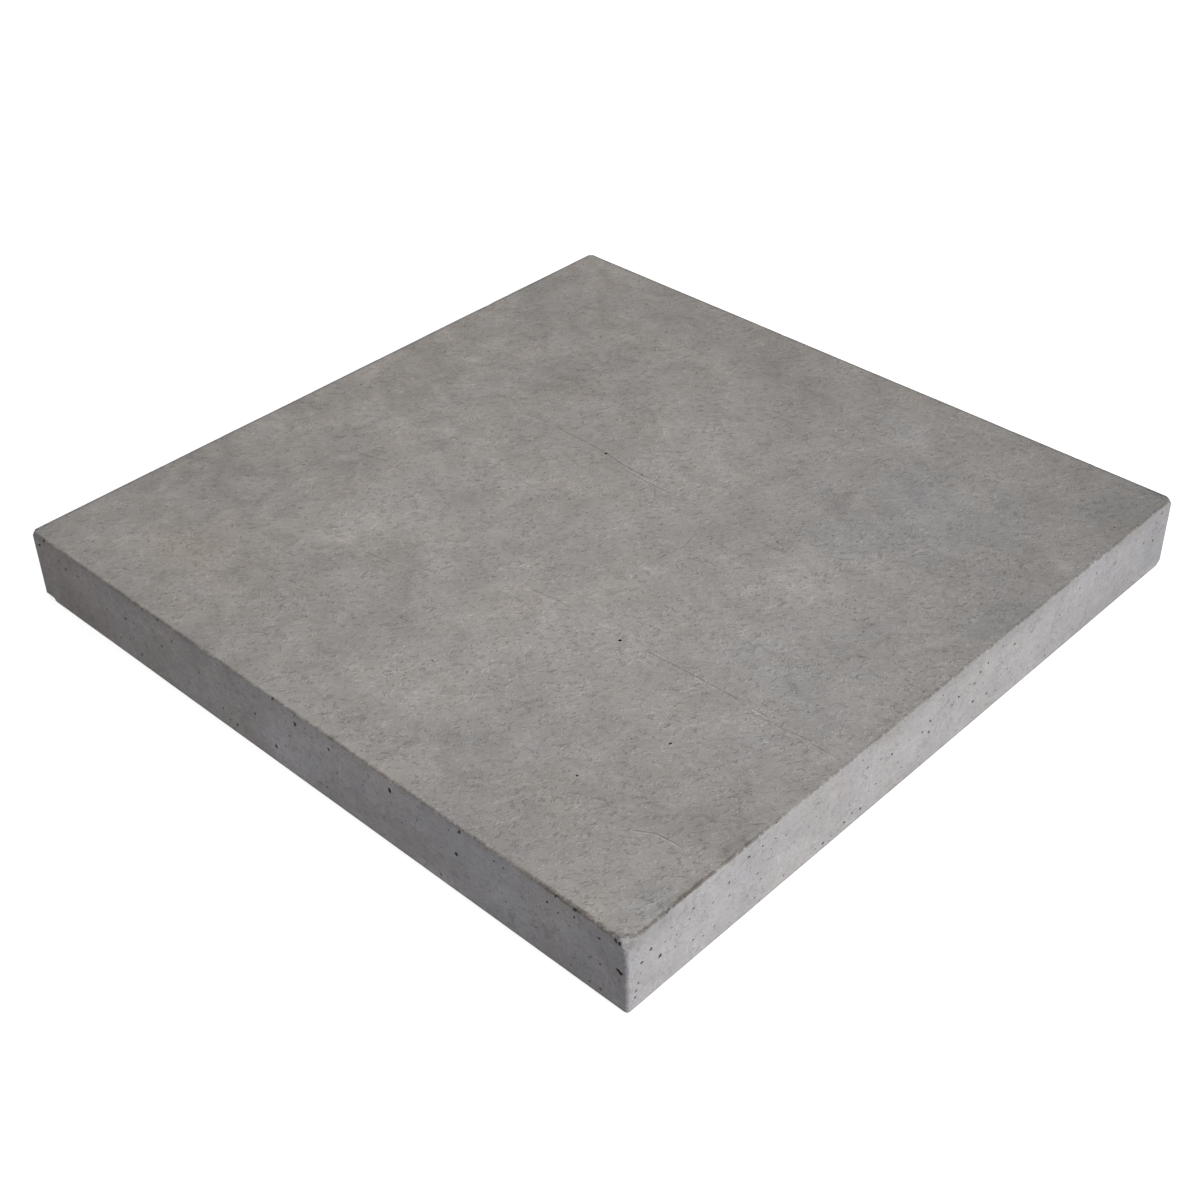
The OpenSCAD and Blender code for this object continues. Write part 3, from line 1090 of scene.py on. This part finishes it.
class ConcreteNodes(Nodes):
    """Cast concrete. Each method takes the tone or coolness so far and adds one kind of mark."""

    def __init__(self, tree):
        """Finds where a point of the skin is and which face it is on."""
        super().__init__(tree)
        coordinates = self.add("ShaderNodeTexCoord").outputs["Object"]
        self.place = self.add("ShaderNodeMapping", {
            "Vector": coordinates, "Scale": (1 / MM, 1 / MM, 1 / MM)}).outputs[0]
        self.x, self.y, self.z = self.split(self.place)
        self.rim_gap = self.attribute("rim_gap")
        self.on_top = self.ramp(self.rim_gap, -0.9, 0.1)
        self.on_bed = self.ramp(self.z, 0.3, 1.2, 1.0, 0.0)
        self.on_front = self.ramp(self.y, 0.6 - HALF_MM, 2.0 - HALF_MM, 1.0, 0.0)
        self.on_right = self.ramp(self.x, HALF_MM - 2.0, HALF_MM - 0.6)
        # the float was drawn across the slab from corner to corner, which stretched the fine marks
        self.swept = self.laid_over(self.place, (0, 0, 0), 44, (1.3, 0.92, 1))

    def near_front_corner(self, far, near, start, end):
        """A change from start to end between a far and a near distance from the front corner."""
        return self.ramp(self.to_front, 2 * HALF_MM - far, 2 * HALF_MM - near, start, end)

    def cast_tone(self):
        """Clouds, mottling and grain, each with its own strength, quieter on the sides."""
        self.clouds = self.noise(self.place, 70, detail=1, roughness=0.8, distortion=0.4)
        patches = self.noise(self.place, 27, (90, 40, 70), detail=1, roughness=0.9, distortion=0.8)
        mottling = self.noise(self.swept, 7, (31, 17, 5), detail=2, roughness=0.8, distortion=1.8)
        grain = self.noise(self.swept, 1.5, (7, 77, 9), detail=1, roughness=0.8, distortion=2.2)
        patch_swing = self.math("MULTIPLY", self.ramp(self.x, -HALF_MM, 60, 1.4, 0.9), 0.40)
        broad = self.product(self.swing(self.clouds, 0.40), self.swing(patches, patch_swing),
                             self.swing(mottling, 0.50))
        side_share = self.math("MULTIPLY_ADD", self.on_front, 0.16, 0.74)
        self.quieter_sides = self.ramp(self.on_top, 0.0, 1.0, side_share, 1.0)
        broad = self.change(self.math("SUBTRACT", broad, 1.0), self.quieter_sides)
        side_grain = self.math("MULTIPLY_ADD", self.on_front, 0.13, 0.39)
        return self.product(broad, self.swing(grain, self.ramp(self.on_top, 0.0, 1.0, side_grain, 0.25)))

    def creases(self, tone):
        """Thin pale creases of cement paste, in patches."""
        crease = self.noise(self.warped(self.place, 30, 22), 16, detail=3, roughness=0.65)
        ridge = self.math("ABSOLUTE", self.math("SUBTRACT", crease, 0.5))
        here = self.ramp(self.noise(self.place, 60, detail=1), 0.46, 0.62)
        crest = self.product(self.ramp(ridge, 0.0, 0.03, 1.0, 0.0), here)
        return self.product(tone, self.change(crest, 0.10))

    def placed_marks(self, tone):
        """Stains, streaks and spots with a place of their own, and how cool they turn the skin."""
        soft = self.warped(self.place, 34, 26)
        streaky = self.warped(self.place, 9, 7)
        top = self.stains(streaky, STREAKS, *self.stains(soft, STAINS, TOP_TONE))
        soft_x, soft_y, _ = self.split(soft)
        front = self.stains(self.joined(soft_x, self.z), FRONT_STAINS_AND_PAINTED_LIGHT)
        front = self.stains(self.joined(self.x, self.z), FRONT_SPOTS, *front)
        right = self.stains(self.joined(soft_y, self.z), RIGHT_STAINS)
        right = self.stains(self.joined(self.y, self.z), RIGHT_SPOTS, *right)
        face = []
        for front_mark, right_mark, top_mark, plain in zip(front, right, top, (1.0, 0.0)):
            side = self.math("MULTIPLY_ADD", front_mark, self.on_front, plain)
            side = self.math("MULTIPLY_ADD", right_mark, self.on_right, side)
            face.append(self.between(self.on_top, side, top_mark))
        return self.product(tone, face[0]), face[1]

    def warmth(self, cool):
        """The warm and cool drift of the colour, brown along the walking arris, and a violet tint of
        painted shade on the front side.
        """
        self.to_front = self.math("SUBTRACT", self.x, self.y)
        line_end = self.near_front_corner(130, 40, 0.8, 2.1)
        line_foot = self.near_front_corner(60, 20, -1.3, -3.2)
        self.on_line = self.product(self.ramp(self.rim_gap, line_foot, -0.6),
                                    self.ramp(self.rim_gap, 0.0, line_end, 1.0, 0.0))
        brown = self.near_front_corner(130, 40, -0.8, -2.2)
        brown = self.math("MINIMUM", brown, self.math("MULTIPLY", self.on_front, -2.2))
        cool = self.math("MULTIPLY_ADD", self.on_line, brown, cool)
        drift = self.noise(self.place, 60, (300, 80, 20), detail=6, roughness=0.95)
        strength = self.math("MULTIPLY_ADD", self.on_front, 4.0, 7.0)
        cool = self.math("MULTIPLY_ADD", self.math("SUBTRACT", drift, 0.5), strength, cool)
        # the shaded front side is painted a little less green, a tint of painted shade
        return self.rgb(self.change(cool, -0.020), self.change(self.on_front, -0.012),
                        self.change(cool, 0.026))

    def sand_and_soot(self, tone):
        """Flecks of sand, crowded specks of soot, and thin dark and pale strokes."""
        tone = self.product(tone, self.flecks(self.place, 7.0, 0.9, 0.45),
                            self.flecks(self.moved(self.place, (3, 50, 8)), 3.0, 0.6, 0.14))
        soot = self.noise(self.swept, 2.2, (60, 3, 33), detail=1, roughness=0.6, distortion=1.2)
        crowd = self.noise(self.place, 24, (8, 60, 2), detail=2)
        crowded = self.ramp(crowd, 0.38, 0.64, 0.62, 1.0)
        tone = self.product(tone, self.change(self.product(self.ramp(soot, 0.6, 0.72), crowded), -0.11))
        self.dark = self.product(self.strokes(self.swept, 6), crowded)
        self.pale = self.product(self.strokes(self.moved(self.swept, (70, 20, 50)), 5.5), crowded)
        return self.product(tone, self.change(self.product(self.dark, self.quieter_sides), -0.22),
                            self.change(self.product(self.pale, self.quieter_sides), 0.15))

    def cracks_and_rim(self, tone):
        """The painted shade in the cracks and the painted highlight on their lips, a darker line along the
        walking arris with pale worn crumbs in it, and painted shade along the far arrises.
        """
        crack = self.attribute("crack")
        # painted shade in the cracks and a painted highlight on their lips
        tone = self.product(tone, self.ramp(crack, -0.9, 0.0, 0.62, 1.0),
                            self.ramp(crack, 0.0, 0.9, 1.0, 1.28))
        far_rims = self.math("MAXIMUM", self.ramp(self.y, HALF_MM - 4, HALF_MM - 2),
                             self.ramp(self.x, 4 - HALF_MM, 2 - HALF_MM))
        patchy = self.ramp(self.noise(self.place, 11, detail=3, roughness=0.75), 0.36, 0.62, 0.35, 1.0)
        patchy = self.math("MAXIMUM", patchy, far_rims)
        # a darker line along the walking arris, strongest near the front corner
        rim_line_darkening = self.near_front_corner(110, 30, -0.40, -0.66)
        front_line_darkening = self.ramp(self.x, HALF_MM - 110, HALF_MM - 40, -0.44, -0.54)
        rim_line_darkening = self.math("MINIMUM", rim_line_darkening, self.product(self.on_front, front_line_darkening))
        tone = self.product(tone, self.change(self.product(self.on_line, patchy), rim_line_darkening))
        # painted shade along the walking arris of the two far sides, where it turns away from the light
        far_arris_shade = self.product(far_rims, self.ramp(self.rim_gap, -0.5, 0.2),
                                self.ramp(self.rim_gap, 1.4, 3.0, 1.0, 0.0))
        tone = self.product(tone, self.change(far_arris_shade, -0.16))
        crumbs = self.product(self.on_line, self.ramp(self.x, 60, 200, 0.25, 1.0),
                              self.ramp(self.noise(self.place, 2.4, detail=1), 0.56, 0.64))
        return self.product(tone, self.change(crumbs, 0.38))

    def wear(self, tone):
        """Paler worn places, painted shade along the foot of the sides, a darker band under the front
        walking arris, and painted highlights on the pores' lips.
        """
        wear = self.attribute("wear")
        patchy = self.ramp(self.noise(self.place, 3, detail=2), 0.4, 0.6)
        tone = self.product(tone, self.change(self.product(wear, patchy), 0.14))
        under_front = self.product(self.ramp(self.rim_gap, -7.0, -1.2),
                                   self.ramp(self.rim_gap, -1.2, -0.6, 1.0, 0.0), self.on_front)
        # painted shade along the foot of each side, darkest on the front side and towards the back of the
        # right side
        foot_painted_shade = self.math("MAXIMUM", self.on_front, self.ramp(self.y, -60, 60))
        foot_painted_shade = self.ramp(foot_painted_shade, 0.0, 1.0, 0.90, 0.68)
        foot = self.product(self.ramp(self.z, 1.3, 2.3, foot_painted_shade, FOOT_GLOW),
                            self.ramp(self.z, 3.0, 9.0, 1.0, 1 / FOOT_GLOW))
        tone = self.product(tone, self.change(under_front, -0.07), self.math("MAXIMUM", foot, self.on_bed))
        # a painted highlight on one side of the larger pores' lips
        pore_lip_highlight = self.ramp(self.attribute("pore_lip_highlight"), 0.25, 0.9)
        return self.product(tone, self.change(pore_lip_highlight, 0.55))

    def colour(self, colours, tone, warmth):
        """A base colour for each face, its tone and warmth, and the painted shade in the pores."""
        colour = self.mix_colour(self.on_bed, with_alpha(colours.sides), with_alpha(colours.bed))
        colour = self.mix_colour(self.on_top, colour, with_alpha(colours.walking))
        colour = self.mix_colour(1.0, colour, self.rgb(tone, tone, tone), blend="MULTIPLY")
        colour = self.mix_colour(1.0, colour, warmth, blend="MULTIPLY")
        # painted shade in the pores, darkest towards their floors
        in_pore_shade = self.ramp(self.attribute("pore_painted_shade"), 0.05, 0.4)
        return self.mix_colour(in_pore_shade, colour, with_alpha(colours.pore))

    def fine_relief(self):
        """Pimples and strokes of the cast skin, as a bump."""
        pimples = self.noise(self.swept, 3.2, (11, 5, 60), detail=3, roughness=0.75, distortion=0.6)
        height = self.math("ADD", pimples, self.math("SUBTRACT", self.pale, self.dark))
        bump = self.add("ShaderNodeBump", {"Strength": 1.0, "Distance": BUMP_DEPTH, "Height": height})
        return bump.outputs[0]


def new_material(name, specular):
    """A material with its node tree and its main shader."""
    material = bpy.data.materials.new(name)
    material.use_nodes = True
    shader = material.node_tree.nodes["Principled BSDF"]
    shader.inputs["Specular IOR Level"].default_value = specular
    return material, shader


def concrete_material(colours):
    """Cloudy cast concrete: a warm mottled walking face, cooler smooth sides and pores darkened with
    painted shade.
    """
    material, shader = new_material("cast_concrete", 0.35)
    nodes = ConcreteNodes(material.node_tree)
    tone = nodes.creases(nodes.cast_tone())
    tone, cool = nodes.placed_marks(tone)
    warmth = nodes.warmth(cool)
    tone = nodes.wear(nodes.cracks_and_rim(nodes.sand_and_soot(tone)))
    nodes.feed(shader.inputs["Base Color"], nodes.colour(colours, tone, warmth))
    nodes.feed(shader.inputs["Roughness"], nodes.ramp(nodes.clouds, 0.3, 0.7, 0.62, 0.8))
    nodes.feed(shader.inputs["Normal"], nodes.fine_relief())
    return material


# ---- Studio ----

def floor_material(colour):
    """A pale floor that the camera sees as white, apart from the slab's soft shadow."""
    material, shader = new_material("studio_floor", 0.0)
    shader.inputs["Base Color"].default_value = with_alpha(colour)
    shader.inputs["Roughness"].default_value = 0.9
    nodes = Nodes(material.node_tree)
    seen = nodes.add("ShaderNodeLightPath").outputs["Is Camera Ray"]
    lift = nodes.add("ShaderNodeEmission", {"Strength": nodes.math("MULTIPLY", seen, 0.72)})
    total = nodes.add("ShaderNodeAddShader", {0: shader.outputs[0], 1: lift.outputs[0]})
    nodes.feed(nodes.tree.nodes["Material Output"].inputs["Surface"], total.outputs[0])
    return material


def lay_floor(context, studio):
    """A wide level floor, a hair's breadth under the slab."""
    reach = 12
    under = SLAB_LOW.z - 0.05 * MM
    mesh = bmesh.new()
    bmesh.ops.create_grid(mesh, x_segments=1, y_segments=1, size=reach)
    bmesh.ops.translate(mesh, vec=(0, 0, under), verts=mesh.verts)
    make_piece(context, "studio_floor", mesh, floor_material(studio.floor_colour))


def light_world(context, studio):
    """An even white sky that lights the slab gently and is white behind it."""
    world = bpy.data.worlds.new("studio_world")
    world.use_nodes = True
    context.scene.world = world
    nodes = Nodes(world.node_tree)
    background = world.node_tree.nodes["Background"]
    seen = nodes.add("ShaderNodeLightPath").outputs["Is Camera Ray"]
    nodes.feed(background.inputs["Strength"], nodes.ramp(seen, 0, 1, studio.sky, 1.0))
    background.inputs["Color"].default_value = (1, 1, 1, 1)


def hang_key_lamp(context, studio):
    """A large soft lamp low on the right, almost square to the slab's right side."""
    lamp_data = bpy.data.lights.new("key_lamp", "AREA")
    lamp_data.shape = "RECTANGLE"
    lamp_data.size = 1.6
    lamp_data.size_y = 1.0
    lamp_data.energy = studio.key_power
    lamp = bpy.data.objects.new("key_lamp", lamp_data)
    context.scene.collection.objects.link(lamp)
    away = 2.6
    swing = math.radians(6)
    direction = Vector((math.cos(studio.key_elevation) * math.cos(swing),
                        math.cos(studio.key_elevation) * math.sin(swing),
                        math.sin(studio.key_elevation)))
    lamp.location = SLAB_MIDDLE + direction * away
    lamp.rotation_euler = direction.to_track_quat("Z", "Y").to_euler()


def place_camera(context, studio):
    """A camera above the slab's front corner, with the slab filling the frame."""
    side = SLAB_SIZE.x
    camera_data = bpy.data.cameras.new("studio_camera")
    camera_data.lens = studio.lens
    camera_data.sensor_width = 36
    camera_data.clip_start = 0.05
    camera_data.clip_end = 60
    camera = bpy.data.objects.new("studio_camera", camera_data)
    context.scene.collection.objects.link(camera)
    back = Vector((math.sin(studio.azimuth) * math.cos(studio.elevation),
                   -math.cos(studio.azimuth) * math.cos(studio.elevation),
                   math.sin(studio.elevation)))
    right = Vector((0, 0, 1)).cross(back).normalized()
    up = back.cross(right)
    turned_right = right * math.cos(studio.roll) + up * math.sin(studio.roll)
    turned_up = up * math.cos(studio.roll) - right * math.sin(studio.roll)
    slab_right = 0.0053 * side
    slab_up = 0.106 * side
    top_middle = Vector((SLAB_MIDDLE.x, SLAB_MIDDLE.y, SLAB_HIGH.z))
    spot = top_middle + back * studio.distance * side - turned_right * slab_right - turned_up * slab_up
    turn = Matrix((turned_right, turned_up, back)).transposed().to_4x4()
    camera.matrix_world = Matrix.Translation(spot) @ turn
    context.scene.camera = camera


# ---- Operators, panel and run ----

class PAVING_OT_cast_slab(bpy.types.Operator):
    """Cast the concrete slab and give it its finish"""

    bl_idname = "paving.cast_slab"
    bl_label = "Cast Slab"

    def execute(self, context):
        slab = cast_slab(context)
        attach(slab, SLAB_BODY)
        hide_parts(SLAB_NODE)
        return {"FINISHED"}


class PAVING_OT_set_studio(bpy.types.Operator):
    """Set the floor, the light and the camera"""

    bl_idname = "paving.set_studio"
    bl_label = "Set Studio"

    def execute(self, context):
        studio = context.scene.studio_settings
        lay_floor(context, studio)
        light_world(context, studio)
        hang_key_lamp(context, studio)
        place_camera(context, studio)
        context.scene.view_settings.view_transform = "Standard"
        return {"FINISHED"}


class PAVING_PT_sidebar(bpy.types.Panel):
    """Lists the slab's and the studio's operators"""

    bl_idname = "PAVING_PT_sidebar"
    bl_label = "Paving Slab"
    bl_space_type = "VIEW_3D"
    bl_region_type = "UI"
    bl_category = "Paving"

    def draw(self, context):
        layout = self.layout
        for settings in (context.scene.slab_shape, context.scene.slab_colours):
            for name in settings.__annotations__:
                layout.prop(settings, name)
        layout.operator(PAVING_OT_cast_slab.bl_idname)
        for name in StudioSettings.__annotations__:
            layout.prop(context.scene.studio_settings, name)
        layout.operator(PAVING_OT_set_studio.bl_idname)


CLASSES = (SlabShape, SlabColours, StudioSettings,
           PAVING_OT_cast_slab, PAVING_OT_set_studio, PAVING_PT_sidebar)


def register():
    """Registers the classes and puts the settings on the scene."""
    for cls in CLASSES:
        bpy.utils.register_class(cls)
    bpy.types.Scene.slab_shape = PointerProperty(type=SlabShape)
    bpy.types.Scene.slab_colours = PointerProperty(type=SlabColours)
    bpy.types.Scene.studio_settings = PointerProperty(type=StudioSettings)


def unregister():
    """Takes the settings off the scene and unregisters the classes."""
    del bpy.types.Scene.studio_settings
    del bpy.types.Scene.slab_colours
    del bpy.types.Scene.slab_shape
    for cls in reversed(CLASSES):
        bpy.utils.unregister_class(cls)


def main():
    """Builds the slab and its studio."""
    register()
    bpy.ops.paving.cast_slab()
    bpy.ops.paving.set_studio()


if __name__ == "__main__":
    main()
